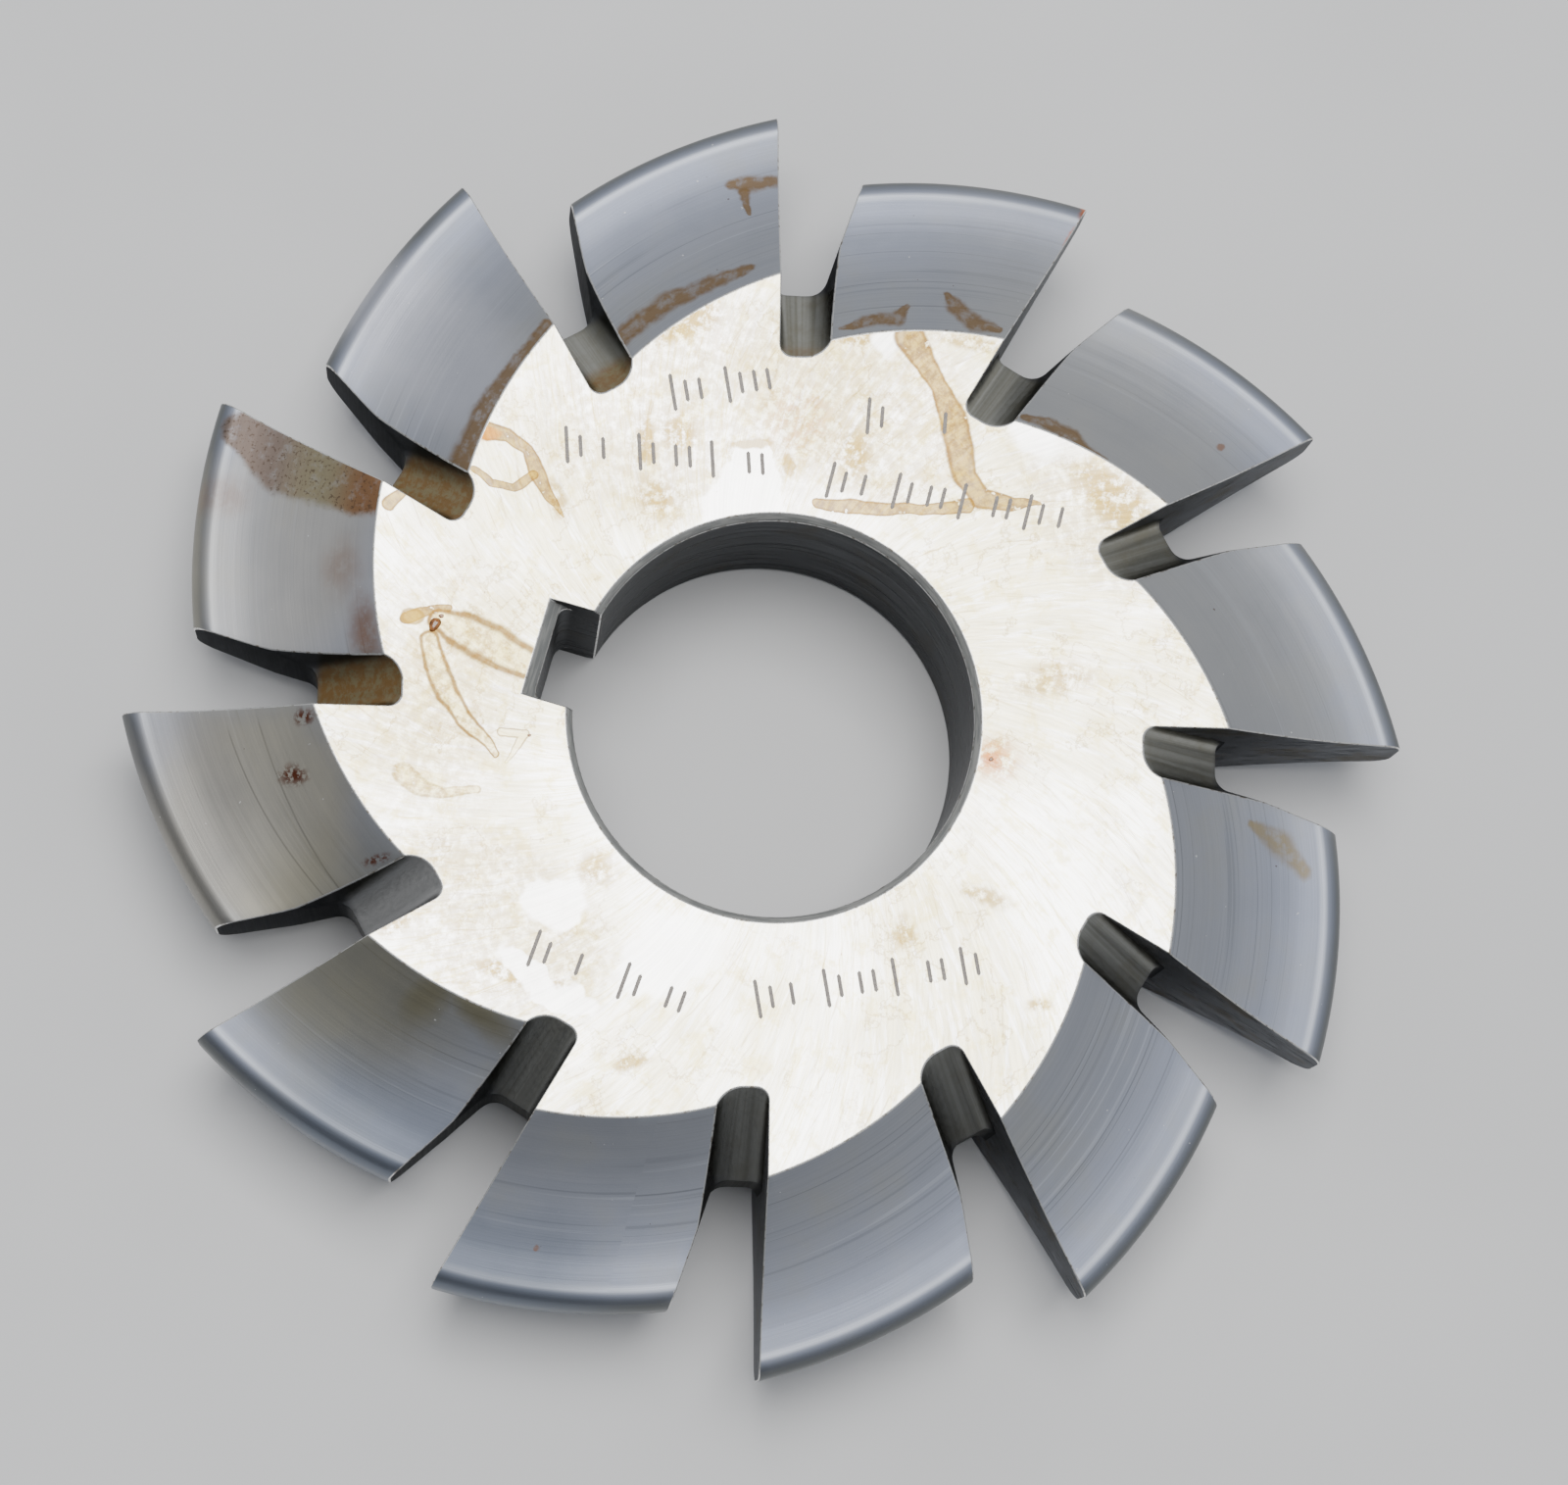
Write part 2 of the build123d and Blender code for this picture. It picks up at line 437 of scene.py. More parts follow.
def cutter_body():
    body = bpy.data.objects.new("cutter_body", cutter_mesh())
    bpy.context.scene.collection.objects.link(body)
    bevel = body.modifiers.new("edges", "BEVEL")
    bevel.limit_method = "WEIGHT"
    bevel.width = EDGE_ROUNDING * MM
    bevel.segments = EDGE_SEGMENTS
    bevel.use_clamp_overlap = False
    bevel.material = SURFACES.index("edge")
    normals = body.modifiers.new("normals", "WEIGHTED_NORMAL")
    normals.keep_sharp = True
    return body


# ---- materials

# Stains and marks are laid out as the camera sees the cutter, with a cutting edge at the
# top and the keyway at the left: the layout is turned by this much from the part's frame.
LAYOUT_TURN = 75.0
FAR_AWAY = 500.0  # the lower half of the cutter is moved this far out of the layout of stains
TOOTH_SHIFT = 7.3  # between the noise of one tooth and the next
RIM_FADE = 0.25  # how far inside a film's outline its rim gets dark, as a share


def rgb(red, green, blue):
    """An 8-bit sRGB colour, as the linear values that shaders take."""

    def linear(level):
        level /= 255
        return level / 12.92 if level <= 0.04045 else ((level + 0.055) / 1.055) ** 2.4

    return linear(red), linear(green), linear(blue)


def around(*points):
    """Points given by azimuth, radius and half width, as x, y and half width."""
    return [(r * cos(radians(a)), r * sin(radians(a)), width) for a, r, width in points]


class Shader:
    """One material's node tree, with a short call for each kind of node it uses."""

    def __init__(self, name, metallic=1.0, glance=1.0):
        """The glance is how much a metal reflects that is seen along its surface."""
        self.material = bpy.data.materials.new(name)
        self.material.use_nodes = True
        self.tree = self.material.node_tree
        self.surface = self.tree.nodes["Principled BSDF"]
        self.surface.inputs["Metallic"].default_value = metallic
        self.surface.inputs["Specular Tint"].default_value = (glance, glance, glance, 1.0)
        self.base = None  # the colour so far
        coordinates = self.tree.nodes.new("ShaderNodeTexCoord")
        self.place = self.scaled(coordinates.outputs["Object"], 1 / MM)
        self.both_sides = self.turned_by(self.place, radians(LAYOUT_TURN))
        below = self.maths("LESS_THAN", self.split(self.place)[2], 0.0)
        away = self.joined(self.times(below, FAR_AWAY), 0.0, 0.0)
        self.layout = self.vector("ADD", self.both_sides, away)

    def put(self, socket, value):
        if isinstance(value, bpy.types.NodeSocket):
            self.tree.links.new(value, socket)
        else:
            socket.default_value = value

    def node(self, kind, *values, **settings):
        """A new node, with values or links for its first inputs."""
        node = self.tree.nodes.new("ShaderNode" + kind)
        for name, setting in settings.items():
            setattr(node, name, setting)
        for socket, value in zip(node.inputs, values):
            self.put(socket, value)
        return node

    def maths(self, operation, *values):
        """One operation, applied from left to right to all the values."""

        def step(a, b):
            return self.node("Math", a, b, operation=operation).outputs[0]

        return reduce(step, values)

    def times(self, *values):
        return self.maths("MULTIPLY", *values)

    def plus(self, *values):
        return self.maths("ADD", *values)

    def minus(self, *values):
        return self.maths("SUBTRACT", *values)

    def either(self, *masks):
        return self.maths("MAXIMUM", *masks)

    def single(self, operation, value):
        """An operation on one value only."""
        return self.node("Math", value, operation=operation).outputs[0]

    def vector(self, operation, *values):
        node = self.node("VectorMath", *values, operation=operation)
        number = operation in ("LENGTH", "DISTANCE", "DOT_PRODUCT")
        return node.outputs["Value" if number else "Vector"]

    def scaled(self, vector, scale):
        node = self.node("VectorMath", vector, operation="SCALE")
        self.put(node.inputs["Scale"], scale)
        return node.outputs["Vector"]

    def turned_by(self, place, angle):
        """The place turned about the cutter's axis, by an angle in radians."""
        node = self.node("VectorRotate", place, rotation_type="Z_AXIS")
        self.put(node.inputs["Angle"], angle)
        return node.outputs["Vector"]

    def joined(self, x, y, z):
        return self.node("CombineXYZ", x, y, z).outputs[0]

    def split(self, vector):
        return self.node("SeparateXYZ", vector).outputs

    def flat(self, place):
        return self.vector("MULTIPLY", place, (1.0, 1.0, 0.0))

    def noise(self, place, scale, detail=3.0, roughness=0.5, output="Fac"):
        return self.node("TexNoise", place, 0.0, scale, detail, roughness).outputs[output]

    def ramp(self, value, low, high, start=0.0, end=1.0):
        """Takes low..high smoothly to start..end."""
        node = self.node("MapRange", value, low, high, start, end, interpolation_type="SMOOTHSTEP")
        return node.outputs[0]

    def graded(self, noise, start, end):
        """A noise's usual range taken to start..end."""
        return self.ramp(noise, 0.3, 0.7, start, end)

    def specks(self, scale, detail, roughness, *span):
        """A noise through a ramp: a mask of the places where it passes a level."""
        return self.ramp(self.noise(self.place, scale, detail, roughness), *span)

    def mix(self, share, a, b, blend="MIX"):
        node = self.node("Mix", share, data_type="RGBA", blend_type=blend, clamp_factor=True)
        for socket, colour in ((node.inputs[6], a), (node.inputs[7], b)):
            self.put(socket, colour if isinstance(colour, bpy.types.NodeSocket) else (*colour, 1.0))
        return node.outputs[2]

    def paint(self, colour, *shares):
        """Paints over what is there, by the product of these shares."""
        self.base = self.mix(self.times(*shares), self.base, colour)

    def ring(self, place, at, size, angle=0.0):
        """Distance from the middle of an ellipse on the layout, 1 on its outline."""
        turn = (0.0, 0.0, radians(angle))
        node = self.node("Mapping", place, (*at, 0.0), turn, (*size, 1000.0), vector_type="TEXTURE")
        return self.vector("LENGTH", node.outputs[0])

    def patch(self, place, at, size, angle, soft, cover=None):
        """1, or the cover, inside an ellipse on the layout, and 0 outside it."""
        inside = self.ramp(self.ring(place, at, size, angle), 1 + soft, 1 - soft)
        return inside if cover is None else self.times(inside, cover)

    def patches(self, place, spots):
        """The highest of several patches, each given as patch() takes it."""
        return self.either(*[self.patch(place, *spot) for spot in spots])

    def run(self, place, points):
        """Distance from a line of (x, y, half width) on the layout, 1 at its half width."""
        distances = []
        for (ax, ay, start), (bx, by, end) in zip(points, points[1:]):
            side = (bx - ax, by - ay, 0.0)
            length_squared = side[0] ** 2 + side[1] ** 2
            offset = self.vector("SUBTRACT", place, (ax, ay, 0.0))
            share = self.vector("DOT_PRODUCT", offset, tuple(c / length_squared for c in side))
            share = self.maths("MAXIMUM", self.maths("MINIMUM", share, 1.0), 0.0)
            away = self.vector("DISTANCE", offset, self.scaled(side, share))
            width = self.plus(self.times(share, end - start), start)
            distances.append(self.maths("DIVIDE", away, width))
        return self.maths("MINIMUM", *distances)

    def film(self, away, inside, rim, cover, rim_cover, crisp=0.1, rim_from=0.55):
        """Paints a dried film: away is 1 at its outline, where it is thickest."""
        whole = self.ramp(away, 1 + crisp, 1 - crisp)
        self.paint(inside, whole, cover)
        self.paint(rim, self.ramp(away, rim_from, rim_from + RIM_FADE), whole, rim_cover)

    def warped(self, place, *layers):
        """The place moved by noise, so that what is laid out there gets a ragged edge."""
        for scale, reach in layers:
            shift = self.noise(place, scale, 2.0, output="Color")
            shift = self.vector("SUBTRACT", shift, (0.5, 0.5, 0.5))
            place = self.vector("ADD", place, self.scaled(shift, reach))
        return self.flat(place)

    def polar(self, fineness, stretch, twist=0.0):
        """Places for streaks along the radius: fineness per turn, stretch per millimetre."""
        flat = self.flat(self.place)
        radius = self.vector("LENGTH", flat)
        if twist:
            flat = self.turned_by(flat, self.times(radius, radians(twist)))
        x, y, _ = self.split(self.vector("NORMALIZE", flat))
        return self.joined(*[self.times(c, fineness) for c in (x, y)], self.times(radius, stretch))

    def relief(self):
        """Depth under the crest, share of the pitch behind the cutting edge, and tooth."""
        x, y, _ = self.split(self.place)
        radius = self.vector("LENGTH", self.joined(x, y, 0.0))
        azimuth = self.times(self.maths("ARCTAN2", y, x), 180 / pi)
        turns = self.maths("DIVIDE", self.minus(azimuth, FIRST_EDGE - 360), PITCH)
        turn = self.single("FRACT", turns)
        sunk = self.plus(radius, self.times(turn, RELIEF_PER_PITCH))
        return self.minus(OUTER_RADIUS, sunk), turn, self.single("FLOOR", turns)

    def lines(self, relief, fineness, stretch, detail=2.0):
        """Noise in lines along a relieved flank: fineness across them, stretch along them."""
        place = [self.times(*pair) for pair in zip(relief, (fineness, stretch, TOOTH_SHIFT))]
        return self.noise(self.joined(*place), 1.0, detail, 0.6)

    def bump(self, height, strength, distance):
        node = self.tree.nodes.new("ShaderNodeBump")
        node.inputs["Strength"].default_value = strength
        node.inputs["Distance"].default_value = distance * MM
        self.put(node.inputs["Height"], height)
        self.put(self.surface.inputs["Normal"], node.outputs[0])

    def coloured(self):
        self.put(self.surface.inputs["Base Color"], self.base)
        return self.material

    def roughness(self, value):
        self.put(self.surface.inputs["Roughness"], value)


CLEAN = rgb(250, 250, 248)
WHITE = rgb(252, 252, 252)
HAZE = rgb(208, 196, 136)
TAN = rgb(142, 116, 44)
AMBER = rgb(96, 68, 28)
BROWN = rgb(90, 60, 28)
PINK = rgb(176, 128, 88)
RUST = rgb(158, 98, 20)
RED = rgb(150, 64, 30)
RUN = rgb(104, 78, 32)
OXIDE = rgb(142, 116, 82)
OXIDE_RIM = rgb(118, 92, 66)

# Runs of dried oil on the upper face, each as (x, y, half width) on the layout
RUNS = (
    (
        (10.6, 31.4, 1.3), (11.9, 29.2, 0.95), (13.0, 27.4, 0.85), (14.0, 24.9, 1.15),
        (14.6, 22.5, 1.2), (15.0, 20.2, 1.1), (16.3, 18.3, 0.95), (18.7, 17.8, 0.6),
        (21.2, 17.9, 0.15),
    ),
    ((3.2, 17.5, 0.45), (5.7, 17.3, 0.6), (8.7, 17.1, 0.5), (11.7, 17.2, 0.45), (15.2, 17.6, 0.6)),
    (
        (-23.3, 22.6, 0.8), (-21.8, 22.4, 0.6), (-20.2, 21.1, 0.5), (-19.3, 19.3, 0.65),
        (-18.2, 17.2, 0.4), (-17.2, 15.6, 0.1),
    ),
    ((-19.5, 19.0, 0.35), (-21.1, 17.9, 0.35), (-22.9, 18.2, 0.3), (-24.3, 19.4, 0.25)),
    ((-31.1, 16.3, 0.55), (-30.1, 17.2, 0.45)),
    ((-29.3, 7.0, 0.55), (-28.5, 7.5, 0.5), (-27.4, 7.9, 0.35), (-26.1, 7.9, 0.3)),
)
WIPED_STRIP = ((-2.6, 16.6, 3.4), (-2.2, 18.6, 2.6), (-2.0, 21.4, 1.4))
TRIANGLE = ((-21.6, -2.0, 0.4), (-19.7, -2.0, 0.35), (-21.1, -4.2, 0.12))

# Loops of oil with a dark outline, as the runs, and how well the outline covers
LEFT_LOOP = ((-26.9, 7.0, 0.9), (-24.9, 6.2, 1.5), (-22.5, 5.1, 1.75), (-19.8, 3.7, 1.35))
TAIL = (
    (-27.4, 5.3, 0.8), (-26.9, 3.3, 0.95), (-26.0, 1.1, 0.95), (-24.6, -0.9, 0.8), (-22.0, -3.6, 0.3),
)
FAINT_LOOP = ((-29.3, -5.4, 0.9), (-28.0, -6.5, 0.8), (-26.1, -6.9, 0.5), (-23.4, -6.6, 0.35))
LOOPS = ((LEFT_LOOP, 0.85), (TAIL, 0.85), (FAINT_LOOP, 0.35))


def scratched_steel(s):
    """Bright ground steel with streaks along the radius, under a thin uneven haze."""
    broad = s.noise(s.place, 0.07, 3.0, 0.55)
    flakes = s.noise(s.polar(46.0, 0.16, 0.5), 1.0, 5.0, 0.7)
    hairs = s.noise(s.polar(150.0, 0.09, 0.8), 1.0, 3.0, 0.7)
    marble = s.noise(s.warped(s.place, (0.5, 1.6)), 0.42, 7.0, 0.72)
    s.base = CLEAN
    s.paint(HAZE, s.ramp(broad, 0.38, 0.62), 0.6)
    s.paint(HAZE, s.ramp(marble, 0.5, 0.62), 0.6)
    s.paint(WHITE, s.ramp(flakes, 0.5, 0.64), s.ramp(marble, 0.64, 0.42), 0.9)
    s.paint(HAZE, s.ramp(flakes, 0.46, 0.34), s.ramp(broad, 0.66, 0.4), 0.6)
    s.paint(HAZE, s.ramp(hairs, 0.54, 0.64), s.ramp(broad, 0.62, 0.4), 0.65)
    strokes = s.noise(s.polar(80.0, 0.2, 1.4), 1.0, 4.0, 0.7)
    s.paint(TAN, s.ramp(strokes, 0.56, 0.7), 0.5)
    s.paint(WHITE, s.ramp(strokes, 0.42, 0.3), 0.8)
    off_line = s.single("ABSOLUTE", s.minus(s.noise(s.place, 0.17, 6.0, 0.62), 0.53))
    s.paint(TAN, s.ramp(off_line, 0.016, 0.0), s.ramp(broad, 0.4, 0.55), 0.5)
    return broad, flakes


# Where the oil lay on the upper face, each as (x, y), half sizes, angle, softness of the edge
MOTTLED = (
    ((-7.4, 32.2), (2.8, 1.5), 30.0, 0.45),
    ((-8.0, 22.9), (1.4, 1.4), 0.0, 0.6),
    ((-10.7, 22.0), (0.9, 2.2), 0.0, 0.6),
    ((-9.8, 17.4), (1.6, 1.4), -30.0, 0.6),
    ((5.6, 31.3), (3.8, 0.7), 4.0, 0.5),
    ((15.6, 31.2), (3.0, 0.7), -8.0, 0.5),
    ((27.2, 18.6), (3.6, 2.2), -40.0, 0.5),
    ((6.2, 21.6), (1.2, 2.2), 0.0, 0.6),
    ((-17.6, 17.0), (0.7, 1.9), 15.0, 0.4),
    ((22.4, 3.6), (3.4, 1.3), 10.0, 0.6),
    ((-29.6, -17.2), (1.0, 1.6), -40.0, 0.5),
    ((-10.9, -27.8), (1.5, 0.6), 20.0, 0.4),
    ((-19.6, -21.2), (3.6, 0.7), -12.0, 0.4),
    ((16.8, -14.0), (2.2, 0.7), -15.0, 0.5),
    ((10.6, -17.0), (0.9, 1.4), 0.0, 0.5),
    ((21.2, -22.4), (1.0, 0.5), 0.0, 0.5),
    ((-13.9, -12.6), (1.6, 1.6), 0.0, 0.7),
)
YELLOWED = (
    ((-6.0, 25.0), (14.0, 9.0), 8.0, 0.3),
    ((8.0, 25.0), (8.0, 8.0), 0.0, 0.3),
    ((25.0, 17.0), (8.0, 4.0), -45.0, 0.4),
    ((-21.5, -17.0), (10.0, 6.5), -35.0, 0.25),
    ((-27.0, 1.0), (6.0, 11.0), 0.0, 0.6),
)
WIPED = (
    ((-17.0, -15.4), (2.9, 2.0), 0.0, 0.12),
    ((-8.2, -19.6), (4.4, 3.2), 30.0, 0.12),
    ((-17.0, -22.0), (4.4, 1.3), -30.0, 0.12),
    ((9.0, 31.0), (1.2, 1.5), 0.0, 0.3),
    ((21.0, 25.0), (3.2, 2.2), -40.0, 0.4),
)
TAN_SPOTS = (((-2.2, 22.3), (1.7, 0.45), 6.0, 0.3), ((0.7, 20.6), (0.4, 1.1), 12.0, 0.3))


def mottling(s, ragged, speck):
    """Uneven stains that the oil left where it lay longest."""
    s.paint(TAN, s.patches(ragged, MOTTLED), s.ramp(speck, 0.34, 0.56), 0.8)
    s.paint(TAN, s.patches(ragged, YELLOWED), s.ramp(speck, 0.34, 0.58), 0.5)
    pink = s.patch(ragged, (1.5, 24.4), (2.4, 2.6), 0.0, 0.6)
    s.paint(PINK, pink, s.ramp(speck, 0.44, 0.6), 0.45)
    torn = s.warped(s.layout, (0.22, 4.5), (0.9, 1.2))
    wiped = s.either(s.ramp(s.run(ragged, WIPED_STRIP), 1.05, 0.95), s.patches(torn, WIPED))
    s.paint(WHITE, wiped, 0.85)
    s.paint(TAN, s.patches(ragged, TAN_SPOTS), 0.75)


def oil_runs(s, speck):
    """Runs and loops of oil that dried with a darker outline."""
    wavy = s.warped(s.layout, (0.3, 0.8), (1.1, 0.14))
    gaps = s.specks(1.3, 2.0, 0.5, 0.72, 0.66)
    cover, rim_cover, thin_cover = [s.times(gaps, share) for share in (0.88, 0.6, 0.65)]
    streaked = s.mix(s.ramp(speck, 0.4, 0.6), TAN, RUN)
    for points in RUNS:
        away = s.run(wavy, points)
        s.film(away, streaked, AMBER, cover, rim_cover, 0.12, 0.62)
    pale = s.mix(s.ramp(speck, 0.4, 0.62), HAZE, TAN)
    for points, outline_cover in LOOPS:
        away = s.run(wavy, points)
        s.film(away, pale, AMBER, thin_cover, outline_cover, 0.12, 0.5)
    s.film(s.ring(wavy, (-28.9, 7.2), (0.9, 0.75)), TAN, AMBER, 0.7, 0.4)
    s.film(s.run(wavy, TRIANGLE), HAZE, AMBER, 0.5, 0.7)


def rust_spots(s, ragged, speck):
    """Blots of rust, and brown dots."""
    blot = s.patch(ragged, (17.6, -3.0), (2.1, 1.6), 0.0, 0.7)
    s.paint(RUST, blot, s.ramp(speck, 0.34, 0.54), 0.8)
    s.paint(RED, s.patch(ragged, (17.3, -3.1), (0.6, 0.5), 0.0, 0.8), 0.45)
    s.paint(RUST, s.patch(ragged, (-23.5, 22.3), (1.1, 0.6), -10.0, 0.4), 0.7)
    s.paint(BROWN, s.specks(2.6, 2.0, 0.5, 0.76, 0.8), 0.6)


def face_material():
    """Ground faces: bright steel with radial scratches under dried cutting-oil stains."""
    s = Shader("ground_face")
    grain = s.noise(s.polar(120.0, 0.1, 0.9), 1.0, 3.0, 0.6)
    speck = s.noise(s.place, 1.3, 5.0, 0.7)
    ragged = s.warped(s.layout, (0.35, 1.2), (2.2, 0.45))
    broad, flakes = scratched_steel(s)
    mottling(s, ragged, speck)
    oil_runs(s, speck)
    rust_spots(s, ragged, speck)
    streak = s.graded(grain, 0.93, 1.0)
    s.base = s.mix(1.0, s.base, s.joined(streak, streak, streak), "MULTIPLY")
    s.roughness(s.plus(s.ramp(broad, 0.35, 0.65, 0.28, 0.35), s.graded(grain, -0.05, 0.05)))
    s.bump(s.plus(grain, s.times(flakes, 0.5)), 0.3, 0.03)
    return s.coloured()


# Oxide left on the flanks, each as (azimuth, radius, half width) on the layout
OXIDE_BANDS = (
    (
        (112.6, 33.4, 0.7), (108.9, 34.4, 0.9), (104.4, 35.3, 0.85), (99.0, 36.1, 0.75),
        (94.0, 37.2, 0.35),
    ),
    ((81.4, 32.4, 0.15), (77.8, 33.6, 0.6), (74.2, 34.6, 0.75), (73.2, 36.0, 0.2)),
    ((68.9, 38.4, 0.35), (67.0, 37.4, 0.8), (64.2, 36.6, 0.8), (61.4, 36.9, 0.3)),
    (
        (52.2, 32.0, 0.3), (49.0, 32.9, 0.6), (45.4, 33.7, 0.75), (42.4, 33.6, 0.45),
        (36.0, 34.6, 0.2),
    ),
    ((121.0, 36.8, 0.35), (128.0, 35.2, 0.6), (134.7, 33.9, 0.95), (142.4, 32.0, 1.1)),
    ((95.0, 45.5, 0.4), (93.2, 45.3, 0.8), (90.4, 45.5, 0.6)),
    ((93.6, 44.6, 0.5), (93.4, 42.6, 0.12)),
)
WIDE_STAIN = (
    (151.6, 49.2, 1.6), (151.9, 47.2, 2.0), (152.3, 44.6, 2.9), (151.8, 41.4, 2.9), (151.2, 37.0, 2.5),
)
HEEL_STAIN = ((39.0, -7.0, 0.3), (41.5, -8.4, 1.0), (43.4, -10.6, 0.6))
# Grooves round one tooth: depth under the crest at its cutting edge and at its heel
GROOVES = ((8.2, 8.6), (10.8, 9.7))

# Areas and spots of the flanks, each as (x, y), half sizes, angle, softness and any cover
# PALE_AREAS and WARM_AREAS are painted reflections: the flanks are painted paler and warmer there.
PALE_AREAS = (((-36.0, 10.5), (4.5, 8.0), -15.0, 0.5), ((-27.5, 30.0), (5.0, 10.0), 45.0, 0.5))
WARM_AREAS = (
    ((-40.2, 13.4), (7.5, 10.5), -10.0, 0.3, 0.45),
    ((-41.0, -8.4), (8.0, 9.0), 10.0, 0.3, 0.75),
)
OLIVE_EDGES = (
    ((-27.0, -23.0), (3.6, 2.0), 40.0, 0.9, 0.85),
    ((-22.9, -24.0), (3.6, 1.2), -38.0, 0.9, 0.85),
)
RED_SPOTS = (
    ((-32.6, 6.0), (1.0, 2.6), 10.0, 0.8),
    ((-44.6, 17.8), (1.9, 1.4), 0.0, 0.8, 0.5),
    ((-34.6, 11.4), (1.3, 1.9), 0.0, 0.9, 0.6),
    ((-17.7, -42.0), (0.22, 0.22), 0.0, 0.3),
    ((36.6, 24.3), (0.45, 0.3), 20.0, 0.3),
)
RUST_STARS = (
    ((-37.2, -1.0), (0.8, 0.6), 0.0, 0.7),
    ((-37.9, -5.4), (0.85, 0.7), 0.0, 0.7),
    ((-31.1, -12.2), (0.9, 0.35), 20.0, 0.7),
)
RUSTY_TIPS = (
    ((25.6, 44.7), (0.9, 0.3), 60.0, 0.6),
    ((24.4, 42.2), (1.2, 0.2), 60.0, 0.6),
    ((-44.9, -25.3), (0.5, 0.5), 0.0, 0.5),
)


def lined_satin(s, relief):
    """Grey satin with lines along the relief, and the noises that its finish shares."""
    depth = relief[0]
    hair = s.lines(relief, 9.0, 1.5)
    marks = s.lines(relief, 2.4, 0.5)
    cloud = s.noise(s.place, 0.13, 4.0, 0.6)
    s.base = s.mix(s.ramp(depth, 2.0, 14.0), rgb(184, 191, 210), rgb(176, 179, 187))
    s.paint(rgb(172, 170, 154), s.ramp(cloud, 0.45, 0.7), 0.3)
    s.paint(rgb(150, 156, 168), s.ramp(s.lines(relief, 0.9, 0.6), 0.4, 0.7), 0.18)
    scored = s.ramp(s.lines(relief, 5.0, 0.1, 1.0), 0.655, 0.69)
    s.paint(rgb(98, 100, 104), scored, s.ramp(depth, 3.0, 6.0), 0.4)
    # Painted shade: the rounded crest is painted darker, for the dark surroundings that it mirrors.
    s.paint(rgb(100, 103, 104), s.ramp(depth, 1.5, 0.3))
    # Painted highlight: a bright band where the crest's rounded corner begins.
    s.paint(rgb(232, 238, 250), s.ramp(depth, 1.3, 1.6), s.ramp(depth, 2.3, 1.8), 0.7)
    middle = s.times(s.ramp(depth, 3.0, 7.0), s.ramp(depth, 14.0, 10.5))
    s.paint(rgb(120, 124, 132), s.ramp(marks, 0.6, 0.66), middle, 0.3)
    s.paint(rgb(222, 228, 240), s.ramp(marks, 0.38, 0.33), middle, 0.3)
    s.paint(rgb(120, 122, 126), s.ramp(hair, 0.35, 0.65), 0.14)
    return hair, marks, cloud


def flank_areas(s, depth, turn, ragged):
    """Painted reflections and painted shade: areas painted brighter, warmer or darker for how the
    flanks mirror the room and face its light; an olive stain; and grooves round one tooth.
    """
    broadly = s.warped(s.both_sides, (0.3, 2.0))
    # Painted reflections: the flanks are painted neutral grey, paler and warmer in these areas.
    s.paint(rgb(186, 186, 184), s.patch(broadly, (31.0, 19.0), (9.0, 26.0), 30.0, 0.4, 0.6))
    s.paint(rgb(204, 206, 216), s.patches(broadly, PALE_AREAS), 0.75)
    s.paint(rgb(196, 190, 172), s.patches(broadly, WARM_AREAS))
    # Painted shade: a darker grey area on the flanks at the left.
    s.paint(rgb(146, 144, 142), s.patch(broadly, (-46.5, -8.0), (4.5, 12.0), 10.0, 0.5, 0.6))
    olive = s.patch(broadly, (-33.0, -20.5), (8.0, 9.0), 35.0, 0.5, 0.6)
    edges = [s.patch(ragged, *edge) for edge in OLIVE_EDGES]
    s.paint(rgb(146, 140, 112), s.either(olive, *edges))
    # Painted shade: the flanks at the lower left are painted darker and bluer towards the hub.
    lower_flank_shade = s.patch(broadly, (-26.0, -38.0), (15.0, 10.0), -40.0, 0.35)
    s.paint(rgb(122, 130, 144), lower_flank_shade, s.ramp(depth, 10.0, 4.0), 0.65)
    for at_edge, at_heel in GROOVES:
        off_line = s.single("ABSOLUTE", s.minus(depth, s.ramp(turn, 0.0, 1.0, at_edge, at_heel)))
        tooth = s.patch(s.layout, (-39.5, -10.0), (8.0, 9.0), 20.0, 0.1)
        s.paint(rgb(104, 102, 96), s.ramp(off_line, 0.1, 0.03), tooth, 0.4)


def flank_oxide(s, depth, ragged, patchy):
    """Brown bands along the roots of the flanks, and one wide stain with dark pits."""
    cover = s.times(patchy, 0.9)
    for band in OXIDE_BANDS:
        away = s.run(ragged, around(*band))
        s.film(away, OXIDE, OXIDE_RIM, cover, 0.2, 0.4, 0.4)
    stained = s.ramp(s.run(ragged, around(*WIDE_STAIN)), 1.15, 0.8)
    tint = s.mix(s.ramp(depth, 5.5, 10.0), rgb(140, 124, 114), rgb(158, 148, 120))
    tint = s.mix(s.ramp(depth, 10.5, 14.0), tint, rgb(152, 112, 76))
    s.paint(tint, stained, s.specks(0.9, 5.0, 0.7, 0.3, 0.5, 0.6, 0.95))
    s.paint(rgb(96, 80, 66), s.specks(3.4, 3.0, 0.6, 0.56, 0.64), stained, 0.65)


